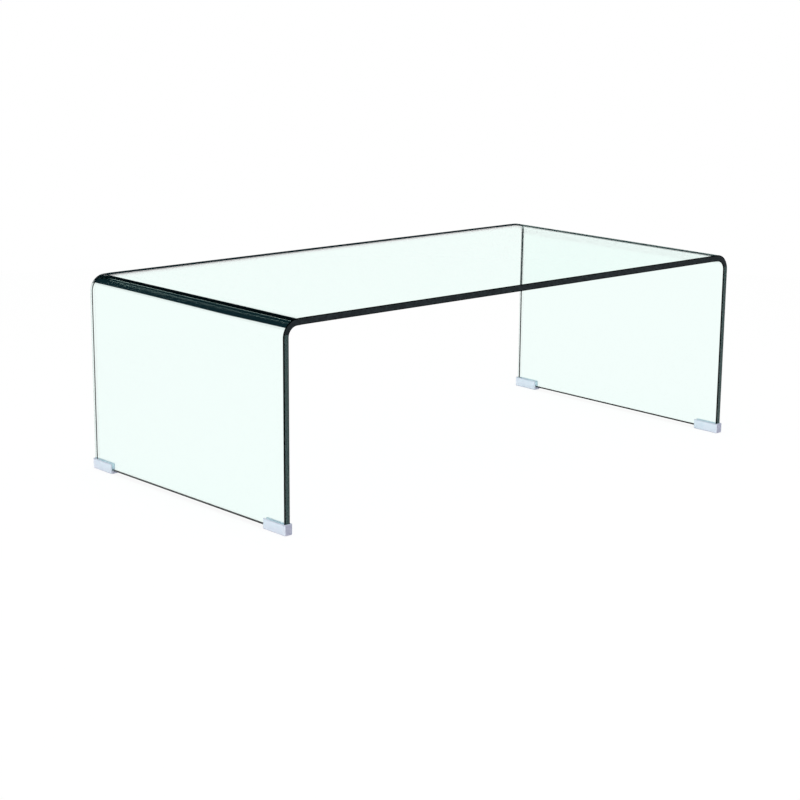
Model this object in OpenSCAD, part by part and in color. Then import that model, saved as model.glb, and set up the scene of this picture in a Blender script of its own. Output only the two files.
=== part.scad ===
// Low table bent from one sheet of float glass, standing on four moulded corner feet.
// Length runs along X, depth along Y with the front at -Y, and the floor is at Z = 0.

/* [Glass sheet] */
// Length over the outer faces of the two legs
table_length = 1100; // [700:10:1400]
// Depth from the front edge to the back edge
table_depth = 560; // [350:10:700]
// Height from the lower edges of the legs to the top face
sheet_height = 352; // [250:1:500]
// Thickness of the glass
sheet_t = 12; // [6:0.5:15]
// Inner radius of the two bends
bend_r = 18; // [12:1:60]
// Radius that blunts the four lower corners
corner_r = 4; // [2:0.5:10]
// Width of the arris ground along every edge
arris = 1.5; // [0.3:0.1:1.5]

/* [Feet] */
// Length of a foot along the lower edge of the glass
foot_length = 60; // [30:1:100]
// Height of a foot from the floor to its rim
foot_height = 19; // [15:0.5:40]
// Thickness of the two side walls
foot_wall = 2.2; // [1.8:0.1:5]
// Thickness of the closed end wall
foot_end = 3.5; // [2:0.1:6]
// Thickness of the base that the glass stands on
foot_base = 6; // [3:0.5:10]
// Radius of the upright corners, seen from above
foot_corner_r = 3; // [1:0.1:4]
// Radius of the edges round the underside
heel_r = 2; // [0.5:0.1:2.5]
// Radius of the edges round the rim
rim_r = 0.8; // [0.3:0.1:1]
// Radius of the rim's corner at the open end, seen from the side
mouth_r = 2.5; // [1:0.1:5]
// Width of the lead-in along the top of the slot
lead_in = 0.6; // [0.2:0.1:0.7]

/* [Fit] */
// Gap between the glass and each wall of a foot
slot_gap = 0.1; // [0.05:0.05:0.25]

/* [Hidden] */
$fn = 96;
// Margin by which a cutter passes the faces that it cuts
over = 1;
outer_r = bend_r + sheet_t;
// The flat stretches that the bends join: half of the top, and the height of a leg's own flat
top_half = table_length / 2 - outer_r;
leg_flat = sheet_height - outer_r;
leg_inner_x = table_length / 2 - sheet_t;
glass_tint = [0.72, 0.92, 0.87, 0.4];
pvc_tint = [0.83, 0.87, 0.92];

slot_w = sheet_t + 2 * slot_gap;
foot_w = slot_w + 2 * foot_wall;
// Outermost face of a foot along Y, and the middle of a leg along X
foot_outer_y = table_depth / 2 + slot_gap + foot_end;
leg_mid_x = (table_length - sheet_t) / 2;

// Cross-section of the sheet, thickness along X and depth along Y, with an arris at each corner
module sheet_section()
  polygon([
    [arris, -table_depth / 2], [sheet_t - arris, -table_depth / 2],
    [sheet_t, arris - table_depth / 2], [sheet_t, table_depth / 2 - arris],
    [sheet_t - arris, table_depth / 2], [arris, table_depth / 2],
    [0, table_depth / 2 - arris], [0, arris - table_depth / 2]
  ]);

// Section of one ground edge, from plain glass at Y = 0 out to the edge at Y = reach
module edge_section(reach)
  polygon([
    [0, 0], [sheet_t, 0], [sheet_t, reach - arris],
    [sheet_t - arris, reach], [arris, reach], [0, reach - arris]
  ]);

// The flat top between the bends
module top_flat()
  translate([-top_half, 0, sheet_height])
    rotate([0, 90, 0])
      linear_extrude(2 * top_half) sheet_section();

// The right-hand bend, a quarter turn of the section about an axis along Y
module bend()
  translate([top_half, 0, leg_flat])
    rotate([90, 0, 0])
      rotate_extrude(angle = 90)
        translate([bend_r, 0]) sheet_section();

// The flat of the right-hand leg, down to where its corners are blunted
module leg_panel()
  translate([leg_inner_x, 0, corner_r])
    linear_extrude(leg_flat - corner_r) sheet_section();

// The lower edge of the leg between its two blunted corners
module lower_edge()
  translate([leg_inner_x, corner_r - table_depth / 2, corner_r])
    rotate([-90, 0, 0])
      linear_extrude(table_depth - 2 * corner_r) edge_section(corner_r);

// The front blunted corner of the leg, a quarter turn of the ground edge about an axis along X
module lower_corner()
  translate([leg_inner_x, corner_r - table_depth / 2, corner_r])
    rotate([-90, 0, 0])
      rotate([0, 90, 0])
        rotate_extrude(angle = 90)
          mirror([1, -1, 0]) edge_section(corner_r);

module leg() {
  leg_panel();
  lower_edge();
  for (side = [0, 1]) mirror([0, side, 0]) lower_corner();
}

// The whole sheet, bent from one piece and standing on the bases of the feet
module bent_glass()
  color(glass_tint)
    translate([0, 0, foot_base]) {
      top_flat();
      for (side = [0, 1]) mirror([side, 0, 0]) {
        bend();
        leg();
      }
    }

// What a rounding of radius r takes off a corner at the origin
module corner_trim(r)
  difference() {
    translate([-over, -over]) square(r + over);
    translate([r, r]) circle(r);
  }

// Rectangle from the origin, with its own radius at each corner, anticlockwise from there
module rounded_rect(width, height, radii) {
  corners = [[0, 0], [width, 0], [width, height], [0, height]];
  difference() {
    square([width, height]);
    for (i = [0:3]) translate(corners[i]) rotate(90 * i) corner_trim(radii[i]);
  }
}

// Outside of a foot, where its plan, its end view and its side view meet.
// The closed end is at Y = 0 and the open end at Y = foot_length.
module foot_body()
  intersection() {
    linear_extrude(foot_height)
      rounded_rect(foot_w, foot_length, [for (i = [0:3]) foot_corner_r]);
    translate([0, foot_length, 0])
      rotate([90, 0, 0])
        linear_extrude(foot_length)
          rounded_rect(foot_w, foot_height, [heel_r, heel_r, rim_r, rim_r]);
    rotate([90, 0, 90])
      linear_extrude(foot_w)
        rounded_rect(foot_length, foot_height, [heel_r, heel_r, mouth_r, rim_r]);
  }

// Slot for the glass, open upwards and at the open end, where its end view and its side view meet.
// Along the top of the two side walls and the end wall it flares at 45 degrees as a lead-in.
module foot_slot() {
  flare = lead_in + over;
  flare_z = foot_height - lead_in;
  top_z = foot_height + over;
  open_y = foot_length + over;
  intersection() {
    translate([foot_wall, open_y, 0])
      rotate([90, 0, 0])
        linear_extrude(open_y)
          polygon([
            [0, foot_base], [slot_w, foot_base], [slot_w, flare_z],
            [slot_w + flare, top_z], [-flare, top_z], [0, flare_z]
          ]);
    rotate([90, 0, 90])
      linear_extrude(foot_w)
        polygon([
          [foot_end, foot_base], [open_y, foot_base], [open_y, top_z],
          [foot_end - flare, top_z], [foot_end, flare_z]
        ]);
  }
}

// One moulded foot, with its closed end at the front left corner of the table
module corner_foot()
  color(pvc_tint)
    translate([-leg_mid_x - foot_w / 2, -foot_outer_y, 0])
      difference() {
        foot_body();
        foot_slot();
      }

module foot_front_left() corner_foot();
module foot_front_right() mirror([1, 0, 0]) corner_foot();
module foot_back_left() mirror([0, 1, 0]) corner_foot();
module foot_back_right() mirror([1, 0, 0]) mirror([0, 1, 0]) corner_foot();

bent_glass();
foot_front_left();
foot_front_right();
foot_back_left();
foot_back_right();
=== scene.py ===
"""Low table bent from one sheet of clear glass, standing on four clear feet, in a pale studio."""

import logging
import math
from dataclasses import dataclass, field
from enum import Enum
from typing import Any, Callable, ClassVar

import bmesh
import bpy
from mathutils import Matrix, Vector


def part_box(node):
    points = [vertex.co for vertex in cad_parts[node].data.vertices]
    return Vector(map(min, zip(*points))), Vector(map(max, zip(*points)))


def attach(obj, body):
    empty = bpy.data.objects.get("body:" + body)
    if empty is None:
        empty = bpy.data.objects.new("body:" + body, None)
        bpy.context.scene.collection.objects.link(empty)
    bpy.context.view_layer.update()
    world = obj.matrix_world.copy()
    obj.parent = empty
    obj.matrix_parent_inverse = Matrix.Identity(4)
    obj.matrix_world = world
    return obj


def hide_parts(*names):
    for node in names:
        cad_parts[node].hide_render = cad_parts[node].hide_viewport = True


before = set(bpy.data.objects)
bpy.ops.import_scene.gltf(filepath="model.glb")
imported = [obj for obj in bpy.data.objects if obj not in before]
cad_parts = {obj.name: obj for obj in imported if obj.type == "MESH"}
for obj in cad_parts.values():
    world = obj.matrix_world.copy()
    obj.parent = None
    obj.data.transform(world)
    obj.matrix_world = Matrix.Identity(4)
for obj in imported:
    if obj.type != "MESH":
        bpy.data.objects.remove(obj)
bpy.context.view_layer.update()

LOG = logging.getLogger("glass_table")
BODY = "root"
MM = 0.001
# Distance below which two places count as one
HAIR = MM / 100
QUARTER_TURN = math.pi / 2
# How closely a face's normal or an edge has to follow an axis
FACING = 0.9
PARALLEL = 0.999
# Places of the colour sockets on a Mix node, which has other sockets of the same names
MIX_SHARE, MIX_FIRST, MIX_SECOND, MIX_RESULT = 0, 6, 7, 2

Colour = tuple[float, float, float]
WHITE: Colour = (1.0, 1.0, 1.0)
BLACK: Colour = (0.0, 0.0, 0.0)


class Pick(Enum):
    """What a selection in edit mode is made of."""

    EDGES = "EDGE"
    FACES = "FACE"


class Side(Enum):
    """A side of the table. Its sign is that of its axis, and the numbers keep the four apart."""

    LEFT = -1
    RIGHT = 1
    FRONT = -2
    BACK = 2

    @property
    def sign(self) -> int:
        """Which way the side lies along its axis, as 1 or -1."""
        return 1 if self.value > 0 else -1


class Finish(Enum):
    """The material slots of the glass, in the order they have on its mesh."""

    POLISHED = 0
    GROUND = 1
    ARRIS = 2


# Shader trees


@dataclass(frozen=True)
class Wire:
    """An output socket that takes part in arithmetic by adding Math nodes to its tree."""

    tree: "ShaderTree"
    socket: bpy.types.NodeSocket

    def _math(self, operation: str, first: Any, second: Any) -> "Wire":
        """Adds one Math node.

        Args:
            operation: The node's operation, such as ADD.
            first: The left operand, a wire or a number.
            second: The right operand, a wire or a number.

        Returns:
            The node's value.
        """
        return self.tree.node("ShaderNodeMath", {"operation": operation}, {0: first, 1: second})[0]

    def __add__(self, other: Any) -> "Wire":
        """Sum of the wire and a value."""
        return self._math("ADD", self, other)

    def __radd__(self, other: Any) -> "Wire":
        """Sum of a number and the wire."""
        return self._math("ADD", other, self)

    def __sub__(self, other: Any) -> "Wire":
        """The wire less a value."""
        return self._math("SUBTRACT", self, other)

    def __rsub__(self, other: Any) -> "Wire":
        """A number less the wire."""
        return self._math("SUBTRACT", other, self)

    def __mul__(self, other: Any) -> "Wire":
        """Product of the wire and a value."""
        return self._math("MULTIPLY", self, other)

    def __rmul__(self, other: Any) -> "Wire":
        """Product of a number and the wire."""
        return self._math("MULTIPLY", other, self)

    def size(self) -> "Wire":
        """The wire's value without its sign."""
        return self._math("ABSOLUTE", self, 0.0)

    def least(self, other: Any) -> "Wire":
        """The smaller of the wire and a value."""
        return self._math("MINIMUM", self, other)

    def most(self, other: Any) -> "Wire":
        """The larger of the wire and a value."""
        return self._math("MAXIMUM", self, other)

    def rise(self, start: Any, end: Any) -> "Wire":
        """Smooth step of the wire.

        Args:
            start: Where the step leaves 0, a wire or a number.
            end: Where it reaches 1, which may be below start.

        Returns:
            A value from 0 to 1.
        """
        settings = {"interpolation_type": "SMOOTHSTEP"}
        values = {"Value": self, "From Min": start, "From Max": end}
        return self.tree.node("ShaderNodeMapRange", settings, values)["Result"]


class Outputs:
    """The outputs of a node, as wires."""

    def __init__(self, tree: "ShaderTree", node: bpy.types.Node) -> None:
        """Keeps the node.

        Args:
            tree: The tree that the node is in.
            node: The node.
        """
        self.tree = tree
        self.node = node

    def __getitem__(self, key: int | str) -> Wire:
        """One output, by its place or name."""
        return Wire(self.tree, self.node.outputs[key])


class ShaderTree:
    """A node tree under construction, for a material or the world."""

    def __init__(self, owner: bpy.types.Material | bpy.types.World) -> None:
        """Empties the owner's tree.

        Args:
            owner: The material or world whose look is made.
        """
        owner.use_nodes = True
        self.owner = owner
        self.nodes = owner.node_tree.nodes
        self.links = owner.node_tree.links
        self.nodes.clear()

    def node(
        self,
        kind: str,
        settings: dict[str, Any] | None = None,
        sockets: dict[int | str, Any] | None = None,
    ) -> Outputs:
        """Adds a node.

        Args:
            kind: The node's type name.
            settings: Its properties, which are set first.
            sockets: Values or wires for its inputs, by place or name.

        Returns:
            The node's outputs.
        """
        node = self.nodes.new(kind)
        for name, value in (settings or {}).items():
            setattr(node, name, value)
        for key, value in (sockets or {}).items():
            if isinstance(value, Wire):
                self.links.new(value.socket, node.inputs[key])
            else:
                node.inputs[key].default_value = value
        return Outputs(self, node)

    def blend(self, share: Any, first: Any, second: Any) -> Wire:
        """Mixes two colours.

        Args:
            share: How much of the second one shows, from 0 to 1.
            first: A colour or a wire.
            second: A colour or a wire.

        Returns:
            The mixed colour.
        """
        first, second = (c if isinstance(c, Wire) else (*c, 1.0) for c in (first, second))
        sockets = {MIX_SHARE: share, MIX_FIRST: first, MIX_SECOND: second}
        return self.node("ShaderNodeMix", {"data_type": "RGBA"}, sockets)[MIX_RESULT]

    def mix(self, share: Any, first: Wire, second: Wire) -> Wire:
        """Mixes two shaders.

        Args:
            share: How much of the second one shows, from 0 to 1.
            first: A shader.
            second: A shader.

        Returns:
            The mixed shader.
        """
        return self.node("ShaderNodeMixShader", None, {0: share, 1: first, 2: second})[0]

    def noise(self, point: Wire, scale: float, detail: float, roughness: float = 0.5) -> Wire:
        """Adds a noise pattern.

        Args:
            point: Where the pattern is read.
            scale: Blotches to a metre.
            detail: Number of finer layers.
            roughness: Strength of each finer layer against the last.

        Returns:
            A value from 0 to 1, mostly near the middle.
        """
        sockets = {"Vector": point, "Scale": scale, "Detail": detail, "Roughness": roughness}
        return self.node("ShaderNodeTexNoise", None, sockets)["Fac"]

    def bump(self, height: Wire, distance: float = 1.0, strength: float = 1.0) -> Wire:
        """Turns a height into a tilted normal.

        Args:
            height: The height, in units of the distance.
            distance: The unit of the height, in metres.
            strength: How much of the tilt is kept, from 0 to 1.

        Returns:
            The normal.
        """
        sockets = {"Strength": strength, "Distance": distance, "Height": height}
        return self.node("ShaderNodeBump", None, sockets)["Normal"]

    def place(self) -> tuple[Wire, Wire, Wire, Wire]:
        """The point on the piece, in metres in the table's frame.

        Returns:
            The point, and its X, Y and Z.
        """
        point = self.node("ShaderNodeTexCoord")["Object"]
        parts = self.node("ShaderNodeSeparateXYZ", None, {0: point})
        return point, parts[0], parts[1], parts[2]

    def finish(self, surface: Wire, volume: Wire | None = None) -> None:
        """Joins the shaders to the output.

        Args:
            surface: The surface or background shader.
            volume: The shader of the inside, for a clear material.
        """
        in_world = isinstance(self.owner, bpy.types.World)
        kind = "ShaderNodeOutputWorld" if in_world else "ShaderNodeOutputMaterial"
        sockets = {"Surface": surface}
        if volume is not None:
            sockets["Volume"] = volume
        self.node(kind, None, sockets)


@dataclass(frozen=True)
class FloatGlass:
    """Clear float glass, which loses a little red over its own thickness.

    Attributes:
        name: Name of the material.
        ior: How strongly the glass refracts.
        density: How much light the body absorbs, for each metre.
        colour: Tint of the body, whose full channels lose nothing.
        wave_length: Distance between the waves of the faces.
        wave_height: Height of those waves.
        roll_width: Width of the strip along the back border that tilts.
        roll_slope: How steeply it tilts.
        roll_reach: How far below the top face the tilt is drawn.
        roll_fade: Distance over which the tilt fades into a bend.
        painted_dark_line: Where the painted dark line along the back border starts and ends,
            inwards from the edge; the line is painted shade.
        painted_dark_line_behind: The same for light that has already passed glass.
        painted_dark_line_soft: Width of the soft sides of the line.
        edge_depth: How far inside the edge its own look starts and is complete.
        edge_roughness: Roughness of the fine-ground edges.
        edge_grain: Patches to a metre in which they are ground more or less finely.
        edge_spread: Least share of that roughness, and how much the patches add.
        painted_edge_shade: Colour of a thin dark layer on the front edges, painted shade for the
            dark they show.
        painted_edge_shade_share: How much of that layer shows.
        painted_edge_shade_roughness: Its roughness.
        painted_edge_shade_shine: Its shine.
    """

    name: str = "float_glass"
    ior: float = 1.52
    density: float = 10.0
    colour: Colour = (0.26, 0.99, 0.79)
    wave_length: float = 0.16
    wave_height: float = 0.004 * MM
    roll_width: float = 20 * MM
    roll_slope: float = 0.14
    roll_reach: float = 16 * MM
    roll_fade: float = 8 * MM
    painted_dark_line: tuple[float, float] = (1.8 * MM, 1.4 * MM)
    painted_dark_line_behind: tuple[float, float] = (4.4 * MM, 2.2 * MM)
    painted_dark_line_soft: float = 0.1 * MM
    edge_depth: tuple[float, float] = (0.2 * MM, 0.1 * MM)
    edge_roughness: float = 0.14
    edge_grain: float = 260.0
    edge_spread: tuple[float, float] = (0.7, 0.6)
    painted_edge_shade: Colour = (0.035, 0.08, 0.078)
    painted_edge_shade_share: float = 0.6
    painted_edge_shade_roughness: float = 0.35
    painted_edge_shade_shine: float = 0.15

    def material(self, half_depth: float, top: float, bend_x: float) -> bpy.types.Material:
        """Builds the material of the polished faces and of the fine-ground edges of the legs.

        Args:
            half_depth: Distance from the middle of the table to its long edges, in metres.
            top: Height of the top face.
            bend_x: Distance from the middle of the table to the axis of a bend.

        Returns:
            The material.
        """
        made = bpy.data.materials.new(self.name)
        tree = ShaderTree(made)
        ray = tree.node("ShaderNodeLightPath")
        point, x, y, z = tree.place()
        edge_start, edge_end = (half_depth - depth for depth in self.edge_depth)
        # Painted shade: a dark line along the back border, wider for light that has already passed
        # glass
        near, far = (self._painted_dark_line(y, half_depth, inset) for inset in (self.painted_dark_line, self.painted_dark_line_behind))
        behind_glass = ray["Transmission Depth"].rise(1.0, 2.0)
        painted_dark_line = near + behind_glass * (far - near)
        least, more = self.edge_spread
        patches = least + more * tree.noise(point, self.edge_grain, 3.0)
        clear = tree.node(
            "ShaderNodeBsdfPrincipled",
            None,
            {
                "Base Color": tree.blend(painted_dark_line, WHITE, BLACK),
                "Roughness": y.size().rise(edge_start, edge_end) * patches * self.edge_roughness,
                "IOR": self.ior,
                "Transmission Weight": 1.0,
                "Normal": tree.bump(self._height(tree, (point, x, y, z), half_depth, top, bend_x)),
            },
        )[0]
        # Painted shade: a thin dark layer over the front edges, which the back edges lack
        painted_edge_shade = tree.node(
            "ShaderNodeBsdfPrincipled",
            None,
            {
                "Base Color": (*self.painted_edge_shade, 1.0),
                "Roughness": self.painted_edge_shade_roughness,
                "Specular IOR Level": self.painted_edge_shade_shine,
            },
        )[0]
        front = y.rise(-edge_start, -edge_end) * self.painted_edge_shade_share
        # Light on its way to a surface passes straight through and isn't refracted
        lighting = ray["Is Shadow Ray"].most(ray["Is Diffuse Ray"])
        open_way = tree.node("ShaderNodeBsdfTransparent")[0]
        body = tree.node(
            "ShaderNodeVolumeAbsorption",
            None,
            {"Color": (*self.colour, 1.0), "Density": self.density},
        )[0]
        tree.finish(tree.mix(lighting, tree.mix(front, clear, painted_edge_shade), open_way), body)
        return made

    def _painted_dark_line(self, y: Wire, half_depth: float, inset: tuple[float, float]) -> Wire:
        """Draws the line of painted shade along the back border.

        Args:
            y: Place along the depth of the table.
            half_depth: Distance from the middle of the table to the back edge.
            inset: How far in from the edge the line starts and ends.

        Returns:
            1 on the line and 0 off it.
        """
        start, end = (half_depth - distance for distance in inset)
        return y.rise(start, start + self.painted_dark_line_soft) * (1 - y.rise(end, end + self.painted_dark_line_soft))

    def _height(
        self,
        tree: ShaderTree,
        place: tuple[Wire, Wire, Wire, Wire],
        half_depth: float,
        top: float,
        bend_x: float,
    ) -> Wire:
        """Height of the faint waves, less the tilt of the strip along the back border.

        Args:
            tree: The material's tree.
            place: The point, and its X, Y and Z.
            half_depth: Distance from the middle of the table to the back edge.
            top: Height of the top face.
            bend_x: Distance from the middle of the table to the axis of a bend.

        Returns:
            The height, in metres.
        """
        point, x, y, z = place
        waves = tree.noise(point, 1 / self.wave_length, 1.0, roughness=0.3) * self.wave_height
        roll_low = top - self.roll_reach
        on_top = z.rise(roll_low, roll_low + MM) * x.size().rise(bend_x + self.roll_fade, bend_x)
        past = (y - (half_depth - self.roll_width)).most(0.0)
        return waves - past * self.roll_slope * on_top


@dataclass(frozen=True)
class GroundGlass:
    """Glass ground by a wheel, which hides the inside of the sheet, painted a dark blue-green.

    Its blue-green is the glass's own tint; its near-black is painted shade, for the dark that the
    sheet's edges show.

    Attributes:
        name: Name of the material.
        dark: Colour of its darker patches.
        light: Colour of its lighter patches.
        patches: Values of the grain between which dark turns to light.
        grain: Patches to a metre.
        roughness: Its roughness.
        shine: Its shine.
        scratch: Depth of the scratches.
        scratch_strength: How much of them shows.
    """

    name: str
    dark: Colour
    light: Colour
    patches: tuple[float, float] = (0.4, 0.65)
    grain: float = 180.0
    roughness: float = 0.35
    shine: float = 0.15
    scratch: float = 0.01 * MM
    scratch_strength: float = 0.5

    def material(self) -> bpy.types.Material:
        """Builds the material of a ground face.

        Returns:
            The material.
        """
        made = bpy.data.materials.new(self.name)
        tree = ShaderTree(made)
        grain = tree.noise(tree.place()[0], self.grain, 4.0)
        surface = tree.node(
            "ShaderNodeBsdfPrincipled",
            None,
            {
                "Base Color": tree.blend(grain.rise(*self.patches), self.dark, self.light),
                "Roughness": self.roughness,
                "Specular IOR Level": self.shine,
                "Normal": tree.bump(grain, self.scratch, self.scratch_strength),
            },
        )[0]
        tree.finish(surface)
        return made


# Painted shade: the ground edges and arrises are near-black, in the glass's own blue-green
EDGE_FLAT = GroundGlass("ground_edge_painted_shade", dark=(0.006, 0.010, 0.013), light=(0.013, 0.020, 0.024))
ARRIS_BEVEL = GroundGlass(
    "ground_arris_painted_shade",
    dark=(0.0, 0.0004, 0.0005),
    light=(0.0008, 0.002, 0.0022),
    shine=0.0,
)


@dataclass(frozen=True)
class ClearPvc:
    """Soft clear plastic, pale blue by light scattered in it, with grey shade painted at its rims.

    Attributes:
        name: Name of the material.
        body: Colour of the walls.
        cloud: Colour of the cloudier patches in them.
        cloud_scale: Patches to a metre.
        cloud_values: Values of the pattern between which body turns to cloud.
        painted_rim_shade: Colour painted as shade along the top, the bottom and the open end.
        painted_rim_shade_width: Width of those rims.
        painted_end_shade: Colour painted on the closed end as shade, for the glass edge behind its
            wall.
        end_skin: How far inside the closed end its colour starts and is complete.
        glow: A faint light of its own, for what the walls gather elsewhere.
        clear: Share of the light that passes straight through.
        cloudiness: Share of the light that scatters inside.
        light_reach: How far it scatters.
        ior: How strongly the plastic refracts.
        roughness: Its roughness.
        grain: Grains to a metre on its moulded skin.
        grain_depth: Depth of the grain.
        grain_strength: How much of it shows.
    """

    name: str = "clear_pvc"
    body: Colour = (0.82, 0.88, 0.95)
    cloud: Colour = (0.77, 0.85, 0.92)
    cloud_scale: float = 60.0
    cloud_values: tuple[float, float] = (0.35, 0.65)
    painted_rim_shade: Colour = (0.60, 0.62, 0.68)
    painted_rim_shade_width: float = 2.4 * MM
    painted_end_shade: Colour = (0.41, 0.42, 0.48)
    end_skin: tuple[float, float] = (0.8 * MM, 0.3 * MM)
    glow: Colour = (0.0, 0.0, 0.04)
    clear: float = 0.1
    cloudiness: float = 0.35
    light_reach: float = 8 * MM
    ior: float = 1.53
    roughness: float = 0.28
    grain: float = 900.0
    grain_depth: float = 0.05 * MM
    grain_strength: float = 0.2

    def material(self, low: Vector, high: Vector) -> bpy.types.Material:
        """Builds the material of the feet.

        Args:
            low: The back right foot's lowest corner, in metres.
            high: Its highest corner.

        Returns:
            The material, which all four feet share, as each mirrors another.
        """
        made = bpy.data.materials.new(self.name)
        tree = ShaderTree(made)
        point, _, y, z = tree.place()
        width = self.painted_rim_shade_width
        top = z.rise(high.z - width, high.z - width / 2)
        bottom = z.rise(low.z + width, low.z + width / 2)
        opened = y.size().rise(low.y + width, low.y + width / 2)
        # Painted shade: the closed end is greyer, for the glass edge that stands behind its wall
        closed = y.size().rise(*(high.y - depth for depth in self.end_skin))
        cloudy = tree.noise(point, self.cloud_scale, 2.0).rise(*self.cloud_values)
        walls = tree.blend(cloudy, self.body, self.cloud)
        # Painted shade: greyer bands along the top, the bottom and the open end
        with_painted_rim_shade = tree.blend(top.most(bottom).most(opened), walls, self.painted_rim_shade)
        grain = tree.noise(point, self.grain, 2.0)
        surface = tree.node(
            "ShaderNodeBsdfPrincipled",
            None,
            {
                "Base Color": tree.blend(closed, with_painted_rim_shade, self.painted_end_shade),
                "Roughness": self.roughness,
                "IOR": self.ior,
                "Subsurface Weight": self.cloudiness,
                "Subsurface Radius": (1.0, 1.0, 1.0),
                "Subsurface Scale": self.light_reach,
                "Transmission Weight": self.clear,
                "Emission Color": (*self.glow, 1.0),
                "Emission Strength": 1.0,
                "Normal": tree.bump(grain, self.grain_depth, self.grain_strength),
            },
        )[0]
        tree.finish(surface)
        return made


# Mesh work


class Workpiece:
    """A mesh shaped with edit-mode operators, as by hand."""

    def __init__(self, name: str, low: Vector, high: Vector) -> None:
        """Starts as a block.

        Args:
            name: The name of the piece.
            low: The block's lowest corner, in metres.
            high: Its highest corner.
        """
        self.leave_edit_mode()
        bpy.ops.object.select_all(action="DESELECT")
        bpy.ops.mesh.primitive_cube_add(size=1, location=(low + high) / 2, scale=high - low)
        self.obj: bpy.types.Object = bpy.context.object
        self.obj.name = self.obj.data.name = name
        bpy.ops.object.transform_apply(location=True, rotation=True, scale=True)

    @staticmethod
    def leave_edit_mode() -> None:
        """Returns to object mode from the piece that was last worked on."""
        if bpy.context.object is not None and bpy.context.object.mode != "OBJECT":
            bpy.ops.object.mode_set(mode="OBJECT")

    def activate(self) -> None:
        """Leaves edit mode and makes this the one selected object."""
        self.leave_edit_mode()
        bpy.ops.object.select_all(action="DESELECT")
        self.obj.select_set(True)
        bpy.context.view_layer.objects.active = self.obj

    def pick(self, kind: Pick, test: Callable[[Any], bool]) -> None:
        """Selects faces or edges in edit mode.

        Args:
            kind: What is selected.
            test: Says whether a face or edge is taken.
        """
        if self.obj.mode != "EDIT":
            self.activate()
            bpy.ops.object.mode_set(mode="EDIT")
        bpy.ops.mesh.select_mode(type=kind.value)
        bpy.ops.mesh.select_all(action="DESELECT")
        mesh = bmesh.from_edit_mesh(self.obj.data)
        mesh.normal_update()
        taken = [item for item in (mesh.faces if kind is Pick.FACES else mesh.edges) if test(item)]
        for item in taken:
            item.select_set(True)
        bmesh.update_edit_mesh(self.obj.data)

    def extrude(self, way: Vector) -> None:
        """Extrudes the selected faces by a vector."""
        bpy.ops.mesh.extrude_region_move(TRANSFORM_OT_translate={"value": way})

    def dress(self, slot: int) -> None:
        """Gives the selected faces a material slot.

        Args:
            slot: The slot's place on the mesh.
        """
        mesh = bmesh.from_edit_mesh(self.obj.data)
        for face in mesh.faces:
            if face.select:
                face.material_index = slot
        bmesh.update_edit_mesh(self.obj.data)

    def modify(self, kind: str, **settings: Any) -> None:
        """Adds a modifier and applies it.

        Args:
            kind: The modifier's type.
            **settings: Its properties.
        """
        self.activate()
        modifier = self.obj.modifiers.new(kind.title(), kind)
        for name, value in settings.items():
            setattr(modifier, name, value)
        bpy.ops.object.modifier_apply(modifier=modifier.name)

    def cut(self, tool: "Workpiece", operation: str) -> None:
        """Cuts the piece with another one, which is used up.

        Args:
            tool: The other piece.
            operation: DIFFERENCE to take it away, or INTERSECT to keep what lies in it.
        """
        tool.activate()
        self.modify("BOOLEAN", operation=operation, solver="EXACT", object=tool.obj)
        bpy.data.objects.remove(tool.obj)

    def shade(self, angle: float) -> None:
        """Smooths the shading, apart from edges sharper than an angle in degrees."""
        self.activate()
        bpy.ops.object.shade_smooth_by_angle(angle=math.radians(angle))


def middle(edge: bmesh.types.BMEdge) -> Vector:
    """The middle of an edge."""
    return (edge.verts[0].co + edge.verts[1].co) / 2


def along(edge: bmesh.types.BMEdge, axis: int) -> bool:
    """Whether an edge runs along one axis, given as 0, 1 or 2."""
    way = (edge.verts[1].co - edge.verts[0].co).normalized()
    return abs(way[axis]) > PARALLEL


# The table


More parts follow.
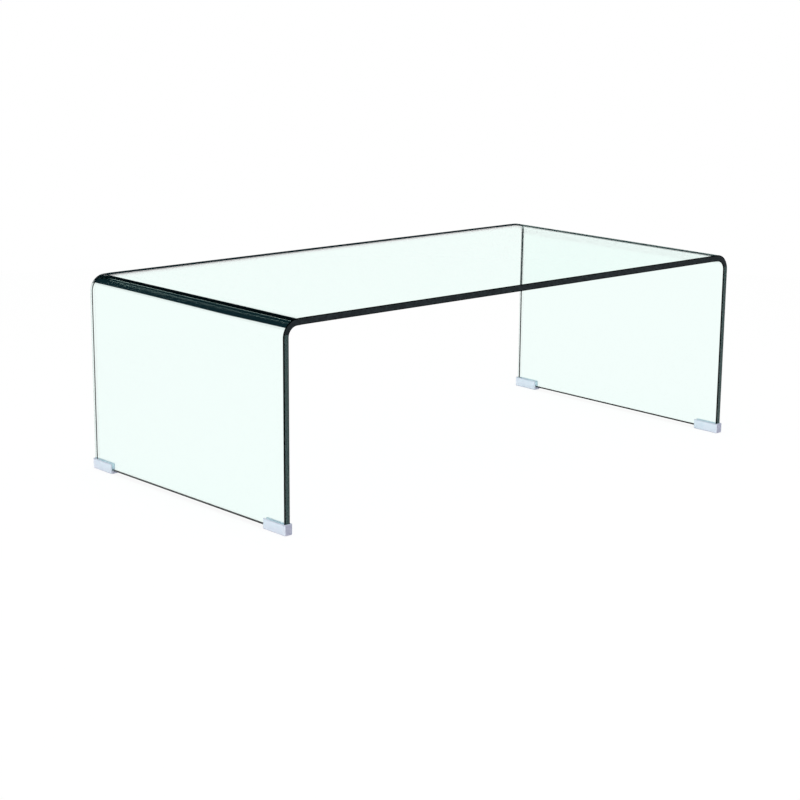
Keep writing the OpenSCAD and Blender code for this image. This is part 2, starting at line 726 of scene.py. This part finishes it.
@dataclass
class BentSheet:
    """The glass: a flat top, two bends and two legs in one sheet with ground edges.

    Attributes:
        NODE: The CAD node that the sheet stands for.
        thickness: Thickness of the glass.
        bend_radius: Inner radius of a bend.
        bend_steps: Flat steps round a bend.
        lead_radius: Radius of the slight curve that leads from the top into a bend.
        lead_angle: How far that curve turns.
        lead_steps: Its flat steps.
        corner_radius: Radius that blunts the lower corners.
        corner_steps: Flat steps round such a corner.
        arris: How far an arris cuts in from each border.
        painted_dark_line: Width of the dark line painted as shade beside an arris of the legs.
        front_turn: How far round the bends the coarser ground edge reaches at the front.
        back_turn: How far it reaches at the back.
        border_angle: Least angle of the borders that get an arris.
        smooth_angle: Greatest angle that is shaded smooth, in degrees.
        guard: Width of the plain strip on each side of a bend.
        low: Lowest corner of the CAD node's box.
        high: Its highest corner.
    """

    NODE: ClassVar[str] = "bent_glass"
    thickness: float = 12 * MM
    bend_radius: float = 18 * MM
    bend_steps: int = 64
    lead_radius: float = 500 * MM
    lead_angle: float = math.radians(2.5)
    lead_steps: int = 10
    corner_radius: float = 4 * MM
    corner_steps: int = 10
    arris: float = 1.5 * MM
    painted_dark_line: float = 0.6 * MM
    front_turn: float = math.radians(75)
    back_turn: float = math.radians(42)
    border_angle: float = math.radians(45)
    smooth_angle: float = 20.0
    guard: float = 2 * MM
    low: Vector = field(default_factory=lambda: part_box(BentSheet.NODE)[0])
    high: Vector = field(default_factory=lambda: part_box(BentSheet.NODE)[1])

    @property
    def outer_radius(self) -> float:
        """Radius of the outer face of a bend."""
        return self.bend_radius + self.thickness

    @property
    def bend_x(self) -> float:
        """Where the axis of the right bend lies along the table."""
        return self.high.x - self.outer_radius

    @property
    def bend_z(self) -> float:
        """Height of the axis of a bend, where the leg's flat starts."""
        straight = self.lead_radius - self.outer_radius
        return self.high.z - self.lead_radius + straight * math.cos(self.lead_angle)

    @property
    def flat_half(self) -> float:
        """Where the flat top ends and the curve that leads into the right bend starts."""
        straight = self.lead_radius - self.outer_radius
        return self.bend_x - straight * math.sin(self.lead_angle)

    def build(self) -> bpy.types.Object:
        """Models the sheet.

        Returns:
            The finished object, with its material slots filled.
        """
        sheet = Workpiece(
            "glass_sheet",
            Vector((0.0, self.low.y, self.high.z - self.thickness)),
            Vector((self.flat_half - self.guard, self.high.y, self.high.z)),
        )
        polished = FloatGlass().material(self.high.y, self.high.z, self.bend_x)
        for material in (polished, EDGE_FLAT.material(), ARRIS_BEVEL.material()):
            sheet.obj.data.materials.append(material)
        self._bend_one_leg(sheet)
        self._blunt_lower_corners(sheet)
        self._mirror(sheet)
        self._grind_edges(sheet)
        sheet.shade(self.smooth_angle)
        return sheet.obj

    def _bend_one_leg(self, sheet: Workpiece) -> None:
        """Carries the end of the top round the bend and down to the foot.

        A narrow strip of flat on each side of the bend keeps the shading of the wide flats true.

        Args:
            sheet: The right half of the flat top.
        """
        sheet.pick(Pick.FACES, lambda f: f.normal.x > FACING)
        sheet.extrude(Vector((self.guard, 0.0, 0.0)))
        lead_centre = (self.flat_half, 0.0, self.high.z - self.lead_radius)
        bend_centre = (self.bend_x, 0.0, self.bend_z)
        for steps, angle, centre in (
            (self.lead_steps, self.lead_angle, lead_centre),
            (self.bend_steps, QUARTER_TURN - self.lead_angle, bend_centre),
        ):
            bpy.ops.mesh.spin(steps=steps, angle=-angle, center=centre, axis=(0.0, 1.0, 0.0))
        sheet.extrude(Vector((0.0, 0.0, -self.guard)))
        sheet.extrude(Vector((0.0, 0.0, self.low.z - self.bend_z + self.guard)))

    def _blunt_lower_corners(self, sheet: Workpiece) -> None:
        """Rounds the two corners of the leg that stand in the feet.

        Args:
            sheet: The right half of the sheet.
        """
        near_floor = self.low.z + self.guard
        sheet.pick(Pick.EDGES, lambda e: along(e, 0) and middle(e).z < near_floor)
        bpy.ops.mesh.bevel(
            offset=self.corner_radius, segments=self.corner_steps, profile=0.5, affect="EDGES"
        )

    def _mirror(self, sheet: Workpiece) -> None:
        """Opens the block at the middle of the table and mirrors it to the left.

        Args:
            sheet: The right half of the sheet.
        """
        sheet.pick(
            Pick.FACES, lambda f: f.normal.x < -FACING and f.calc_center_median().x < self.guard
        )
        bpy.ops.mesh.delete(type="FACE")
        sheet.modify("MIRROR", use_axis=(True, False, False), merge_threshold=HAIR)

    def _grind_edges(self, sheet: Workpiece) -> None:
        """Marks the coarser ground edges, then bevels every border to an arris.

        Below them the edges of the bends and legs are fine-ground and share the material of the
        faces, with a narrow dark line painted on them beside each arris as shade.

        Args:
            sheet: The whole sheet, with sharp borders.
        """
        middle_radius = self.bend_radius + self.thickness / 2
        front_end, back_end = (
            self.bend_z + middle_radius * math.cos(turn)
            for turn in (self.front_turn, self.back_turn)
        )
        low_edge = self.low.z + self.corner_radius / 2

        def is_ground(face: bmesh.types.BMFace) -> bool:
            """Whether a face is coarsely ground.

            Args:
                face: A face of the sheet.

            Returns:
                True on the edges of the top and of the bends' starts, and on the lower edges.
            """
            height = face.calc_center_median().z
            end = front_end if face.normal.y < 0 else back_end
            return abs(face.normal.y) > FACING and height > end or height < low_edge

        sheet.pick(Pick.FACES, is_ground)
        sheet.dress(Finish.GROUND.value)
        # The operator adds to what is selected, so it starts from nothing
        sheet.pick(Pick.EDGES, lambda e: False)
        bpy.ops.mesh.edges_select_sharp(sharpness=self.border_angle)
        bpy.ops.mesh.bevel(
            offset=self.arris, segments=1, affect="EDGES", material=Finish.ARRIS.value
        )
        polished = Finish.POLISHED.value
        # Painted shade: a thin border of the near-black arris material along the fine-ground edges
        sheet.pick(
            Pick.FACES, lambda f: abs(f.normal.y) > FACING and f.material_index == polished
        )
        sheet.dress(Finish.ARRIS.value)
        bpy.ops.mesh.inset(thickness=self.painted_dark_line, depth=0.0)
        sheet.dress(polished)

    def dress(self, obj: bpy.types.Object) -> None:
        """Hides the CAD node that the sheet stands for and attaches the sheet to the body it rides
        on.

        Args:
            obj: The finished sheet.
        """
        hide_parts(self.NODE)
        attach(obj, BODY)


@dataclass
class CornerFoot:
    """A moulded foot with a slot for the glass, closed at the corner of the table.

    Attributes:
        wall: Thickness of the side walls.
        end_wall: Thickness of the closed end.
        base: Thickness of the base that the glass stands on.
        lead_in: Width of the flare along the top of the slot.
        corner_radius: Radius of the uprights.
        corner_steps: Flat steps round an upright.
        heel_radius: Radius of the edges round the underside.
        heel_steps: Flat steps round such an edge.
        rim_radius: Radius of the edges round the top.
        rim_steps: Flat steps round such an edge.
        mouth_radius: Radius of the top corner at the open end, seen from the side.
        mouth_steps: Flat steps round that corner.
        inner_radius: Radius of the small edges that the slot leaves.
        inner_steps: Flat steps round such an edge.
        sharp_angle: Least angle of the edges that get that radius.
        smooth_angle: Greatest angle that is shaded smooth, in degrees.
        past: How far a cutter passes the faces that it cuts.
        low: Lowest corner of the back right foot's box.
        high: Its highest corner.
    """

    wall: float = 2.2 * MM
    end_wall: float = 3.5 * MM
    base: float = 6 * MM
    lead_in: float = 0.6 * MM
    corner_radius: float = 3 * MM
    corner_steps: int = 8
    heel_radius: float = 2 * MM
    heel_steps: int = 6
    rim_radius: float = 0.8 * MM
    rim_steps: int = 4
    mouth_radius: float = 2.5 * MM
    mouth_steps: int = 8
    inner_radius: float = 0.25 * MM
    inner_steps: int = 2
    sharp_angle: float = math.radians(30)
    smooth_angle: float = 40.0
    past: float = 1 * MM
    low: Vector = field(default_factory=lambda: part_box("foot_back_right")[0])
    high: Vector = field(default_factory=lambda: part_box("foot_back_right")[1])

    def build(self) -> Workpiece:
        """Models the back right foot, from which the others are copied.

        Returns:
            The finished workpiece.
        """
        foot = Workpiece("foot_back_right_pvc", self.low, self.high)
        self._round_outside(foot)
        self._cut_slot(foot)
        foot.shade(self.smooth_angle)
        return foot

    def _round_outside(self, foot: Workpiece) -> None:
        """Rounds the uprights, then the heel, the rim and the mouth.

        Args:
            foot: The block.
        """
        foot.pick(Pick.EDGES, lambda e: along(e, 2))
        bpy.ops.mesh.bevel(offset=self.corner_radius, segments=self.corner_steps, affect="EDGES")
        bottom = self.low.z + HAIR
        foot.pick(Pick.EDGES, lambda e: all(v.co.z < bottom for v in e.verts))
        bpy.ops.mesh.bevel(offset=self.heel_radius, segments=self.heel_steps, affect="EDGES")
        top = self.high.z - HAIR
        foot.pick(Pick.EDGES, lambda e: all(v.co.z > top for v in e.verts))
        bpy.ops.mesh.bevel(offset=self.rim_radius, segments=self.rim_steps, affect="EDGES")
        mouth = Workpiece(
            "mouth",
            Vector((self.low.x - self.past, self.low.y, self.low.z - self.past)),
            Vector((self.high.x + self.past, self.high.y + self.past, self.high.z)),
        )
        opening = self.low.y + HAIR
        mouth.pick(
            Pick.EDGES, lambda e: along(e, 0) and middle(e).y < opening and middle(e).z > top
        )
        bpy.ops.mesh.bevel(offset=self.mouth_radius, segments=self.mouth_steps, affect="EDGES")
        foot.cut(mouth, "INTERSECT")

    def _cut_slot(self, foot: Workpiece) -> None:
        """Cuts the slot, which is open at the top and towards the middle of the table.

        Args:
            foot: The rounded block.
        """
        slot_low = Vector(
            (self.low.x + self.wall, self.low.y - self.past, self.low.z + self.base)
        )
        slot_high = Vector(
            (self.high.x - self.wall, self.high.y - self.end_wall, self.high.z - self.lead_in)
        )
        cutter = Workpiece("slot_cutter", slot_low, slot_high)
        cutter.pick(Pick.FACES, lambda f: f.normal.z > FACING)
        flare = self.lead_in + self.past
        cutter.extrude(Vector((0.0, 0.0, flare)))
        slot = slot_high - slot_low
        middle_x = (self.low.x + self.high.x) / 2
        bpy.ops.transform.resize(
            value=(1 + 2 * flare / slot.x, 1 + flare / slot.y, 1.0),
            center_override=(middle_x, slot_low.y, self.high.z),
        )
        foot.cut(cutter, "DIFFERENCE")
        foot.modify(
            "BEVEL",
            width=self.inner_radius,
            segments=self.inner_steps,
            limit_method="ANGLE",
            angle_limit=self.sharp_angle,
            harden_normals=False,
        )

    def place(self, foot: Workpiece, across: Side, deep: Side) -> bpy.types.Object:
        """Copies the foot to a corner of the table.

        Args:
            foot: The back right foot.
            across: Left or right.
            deep: Front or back.

        Returns:
            The copy, or the foot itself for the back right corner.
        """
        if (across, deep) == (Side.RIGHT, Side.BACK):
            return foot.obj
        copy = foot.obj.copy()
        copy.data = foot.obj.data.copy()
        copy.name = copy.data.name = f"foot_{deep.name.lower()}_{across.name.lower()}_pvc"
        bpy.context.scene.collection.objects.link(copy)
        copy.data.transform(Matrix.Diagonal((across.sign, deep.sign, 1, 1)))
        if across.sign * deep.sign < 0:
            copy.data.flip_normals()
        return copy


@dataclass
class Feet:
    """The four feet.

    Attributes:
        foot: The foot that all four are made from.
    """

    foot: CornerFoot = field(default_factory=CornerFoot)

    def build(self) -> list[bpy.types.Object]:
        """Models one foot and copies it to the other corners.

        Returns:
            The four feet, dressed and placed in the frame.
        """
        first = self.foot.build()
        finish = ClearPvc().material(self.foot.low, self.foot.high)
        made = []
        for deep in (Side.FRONT, Side.BACK):
            for across in (Side.LEFT, Side.RIGHT):
                obj = self.foot.place(first, across, deep)
                obj.data.materials.clear()
                obj.data.materials.append(finish)
                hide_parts(f"foot_{deep.name.lower()}_{across.name.lower()}")
                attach(obj, BODY)
                made.append(obj)
        return made


# The studio


def tilt(angle: float) -> float:
    """Height to which a direction of length 1 rises at an angle in degrees from the horizon."""
    return math.sin(math.radians(angle))


@dataclass
class Studio:
    """A pale floor under a soft lamp, in a white room with dark cards.

    The cards show only in reflections and through the glass. In reflections they are a strip
    round the horizon, a ceiling, and a slim post in the bright window between the two. Their
    angles are in degrees from the horizon, and their sideways limits are the X or Y of a
    direction of length 1.

    Attributes:
        floor_radius: Radius of the floor.
        floor_depth: Its thickness.
        floor_sides: Number of its sides.
        floor_paint: Its colour.
        floor_glow: Share of its look that is its own light, for rays that reach the camera.
        trap_radius: Radii between which it stops being dark to light that was reflected twice.
        room_light: Strength of the light that the room gives to surfaces.
        lamp_size: Width of the lamp.
        lamp_place: Where it hangs.
        lamp_power: Its power in watts.
        horizon_low: Lower border of the dark, at the front and at the back.
        horizon_tilt: Y between which that border goes from one to the other.
        horizon_high: Lower border of the bright window in reflections, to the left and right.
        horizon_turn: Y between which that border goes from one to the other.
        ceiling: Where the window starts to darken and where it ends.
        inner_ceiling: The same for reflections that are seen through glass.
        overhead: Where the dark starts and is complete on the left, which has no strip.
        through_low: Lower border of the dark for light that has passed three or more faces.
        post: Direction square to the upright plane in which the slim post stands.
        post_half: Half the width of the post, where it is fully dark and where it ends.
        doorway: Y between which light that comes straight through glass meets no dark.
        soft: Width of the soft borders.
        soft_turn: The same for the sideways limits.
        dark: Colour of the cards.
    """

    floor_radius: float = 2.3
    floor_depth: float = 0.02
    floor_sides: int = 128
    floor_paint: Colour = (0.96, 0.96, 0.96)
    floor_glow: float = 0.9
    trap_radius: tuple[float, float] = (1.2, 1.4)
    room_light: float = 0.92
    lamp_size: float = 3.0
    lamp_place: tuple[float, float, float] = (-0.4, -0.6, 3.0)
    lamp_power: float = 22.0
    horizon_low: tuple[float, float] = (-7.6, -5.4)
    horizon_tilt: tuple[float, float] = (0.77, 0.83)
    horizon_high: tuple[float, float] = (7.5, 8.2)
    horizon_turn: tuple[float, float] = (0.705, 0.65)
    ceiling: tuple[float, float] = (14.0, 15.5)
    inner_ceiling: tuple[float, float] = (11.4, 13.0)
    overhead: tuple[float, float] = (22.0, 24.0)
    through_low: float = 3.0
    post: tuple[float, float, float] = (-0.70506, 0.70904, -0.01205)
    post_half: tuple[float, float] = (0.0003, 0.0006)
    doorway: tuple[float, float] = (0.59, 0.665)
    soft: float = 0.3
    soft_turn: float = 0.02
    dark: Colour = (0.006, 0.018, 0.023)

    def build(self) -> None:
        """Makes the floor, the lamp and the room."""
        self._floor()
        self._lamp()
        self._room()
        bpy.context.scene.view_settings.view_transform = "Standard"

    @staticmethod
    def _seen(ray: Outputs) -> Wire:
        """1 for rays from the camera, a reflection or glass, and 0 for light on a surface."""
        glass = ray["Is Glossy Ray"].most(ray["Is Transmission Ray"])
        return ray["Is Camera Ray"].most(glass)

    def _floor(self) -> None:
        """Makes the round floor, whose own light leaves the table a faint shadow."""
        bpy.ops.object.select_all(action="DESELECT")
        bpy.ops.mesh.primitive_cylinder_add(
            vertices=self.floor_sides,
            radius=self.floor_radius,
            depth=self.floor_depth,
            location=(0.0, 0.0, -self.floor_depth / 2),
        )
        floor = bpy.context.object
        floor.name = "studio_floor"
        material = bpy.data.materials.new("studio_floor")
        tree = ShaderTree(material)
        ray = tree.node("ShaderNodeLightPath")
        paint = tree.node("ShaderNodeBsdfDiffuse", None, {"Color": (*self.floor_paint, 1.0)})[0]
        glow = tree.node("ShaderNodeEmission", None, {"Color": (*WHITE, 1.0)})[0]
        pale = tree.mix(self._seen(ray) * self.floor_glow, paint, glow)
        _, x, y, _ = tree.place()
        start, end = (radius * radius for radius in self.trap_radius)
        trapped = ray["Glossy Depth"].rise(1.0, 2.0) * (1 - (x * x + y * y).rise(start, end))
        dark = tree.node("ShaderNodeEmission", None, {"Color": (*self.dark, 1.0)})[0]
        tree.finish(tree.mix(trapped, pale, dark))
        floor.data.materials.append(material)

    def _lamp(self) -> None:
        """Hangs one large soft lamp over the table."""
        data = bpy.data.lights.new("soft_box", "AREA")
        data.shape = "SQUARE"
        data.size = self.lamp_size
        data.energy = self.lamp_power
        lamp = bpy.data.objects.new("soft_box", data)
        lamp.location = self.lamp_place
        bpy.context.scene.collection.objects.link(lamp)

    def _room(self) -> None:
        """Makes the white room and its cards."""
        world = bpy.data.worlds.new("pale_room")
        bpy.context.scene.world = world
        tree = ShaderTree(world)
        ray = tree.node("ShaderNodeLightPath")
        way = tree.node("ShaderNodeTexCoord")["Generated"]
        parts = tree.node("ShaderNodeSeparateXYZ", None, {0: way})
        across, deep, height = parts[0], parts[1], parts[2]
        soft = tilt(self.soft)
        front_low, back_low = (tilt(angle) for angle in self.horizon_low)
        low = front_low + deep.rise(*self.horizon_tilt) * (back_low - front_low)
        above = height.rise(low - soft, low)
        cards = self._cards_through_glass(ray, deep, height, above)
        reflected = self._cards_in_reflection(ray, (across, deep, height), above)
        cards = cards + ray["Glossy Depth"].least(1.0) * (reflected - cards)
        lit = ray["Diffuse Depth"].least(1.0)
        glass = ray["Is Glossy Ray"].most(ray["Is Transmission Ray"]) * (1 - lit)
        colour = tree.blend(cards * glass, WHITE, self.dark)
        strength = self.room_light + (1 - self.room_light) * self._seen(ray)
        tree.finish(tree.node("ShaderNodeBackground", None, {0: colour, 1: strength})[0])

    def _cards_through_glass(self, ray: Outputs, deep: Wire, height: Wire, above: Wire) -> Wire:
        """The cards for light that comes through glass without a reflection.

        Args:
            ray: What the light has met on its way.
            deep: Y of the direction.
            height: Z of the direction.
            above: 1 over the lower border of the dark.

        Returns:
            1 where the room is dark and 0 where it is white.
        """
        start, end = self.doorway
        soft = self.soft_turn
        wall = 1 - deep.rise(start, start + soft) * (1 - deep.rise(end, end + soft))
        direct = above * wall
        far_above = height.rise(tilt(self.through_low), tilt(self.through_low) + tilt(self.soft))
        return direct + ray["Transmission Depth"].rise(2.0, 3.0) * (far_above - direct)

    def _cards_in_reflection(
        self, ray: Outputs, way: tuple[Wire, Wire, Wire], above: Wire
    ) -> Wire:
        """The cards for light that was reflected.

        Args:
            ray: What the light has met on its way.
            way: X, Y and Z of the direction.
            above: 1 over the lower border of the dark.

        Returns:
            1 where the room is dark and 0 where it is white.
        """
        across, deep, height = way
        left_high, right_high = (tilt(angle) for angle in self.horizon_high)
        high = left_high + deep.rise(*self.horizon_turn) * (right_high - left_high)
        outer, inner, steep = (
            height.rise(tilt(start), tilt(end))
            for start, end in (self.ceiling, self.inner_ceiling, self.overhead)
        )
        ceiling = outer + ray["Transmission Depth"].least(1.0) * (inner - outer)
        off_post = sum(part * share for part, share in zip(way, self.post))
        beside = off_post.size().rise(*self.post_half)
        window = height.rise(high, high + tilt(self.soft)) * (1 - ceiling) * beside
        right = across.rise(-self.soft_turn, self.soft_turn)
        return steep.most(above * (1 - window) * right)


@dataclass(frozen=True)
class PhotoCamera:
    """A long lens at the photograph's angle, a little above the top.

    Attributes:
        place: Where the camera stands, in metres.
        yaw: How far it is turned from the table's depth towards its length, in degrees.
        pitch: How far it looks down.
        roll: How far it is tilted sideways.
        lens: Focal length in millimetres.
        sensor: Width of the sensor in millimetres.
        shift: How far the picture is shifted, in widths of the picture.
    """

    place: tuple[float, float, float] = (-2.48036, -2.73854, 0.95224)
    yaw: float = 42.044
    pitch: float = 14.414
    roll: float = 0.566
    lens: float = 89.756
    sensor: float = 36.0
    shift: tuple[float, float] = (-0.02, 0.06)

    def build(self) -> None:
        """Makes the camera the scene's own."""
        yaw, pitch, roll = (math.radians(angle) for angle in (self.yaw, self.pitch, self.roll))
        ahead = Vector(
            (math.sin(yaw) * math.cos(pitch), math.cos(yaw) * math.cos(pitch), -math.sin(pitch))
        )
        level = Vector((math.cos(yaw), -math.sin(yaw), 0.0))
        upright = level.cross(ahead)
        right = level * math.cos(roll) + upright * math.sin(roll)
        up = right.cross(ahead)
        data = bpy.data.cameras.new("camera")
        data.lens = self.lens
        data.sensor_width = self.sensor
        data.shift_x, data.shift_y = self.shift
        camera = bpy.data.objects.new("camera", data)
        turn = Matrix((right, up, -ahead)).transposed().to_4x4()
        camera.matrix_world = Matrix.Translation(self.place) @ turn
        bpy.context.scene.collection.objects.link(camera)
        bpy.context.scene.camera = camera


def main() -> None:
    """Builds the table and its studio in order."""
    logging.basicConfig(level=logging.INFO, format="%(name)s: %(message)s")
    PhotoCamera().build()
    sheet = BentSheet()
    glass = sheet.build()
    sheet.dress(glass)
    LOG.info("%s: %d faces", glass.name, len(glass.data.polygons))
    for obj in Feet().build():
        LOG.info("%s: %d faces", obj.name, len(obj.data.polygons))
    Studio().build()


if __name__ == "__main__":
    main()
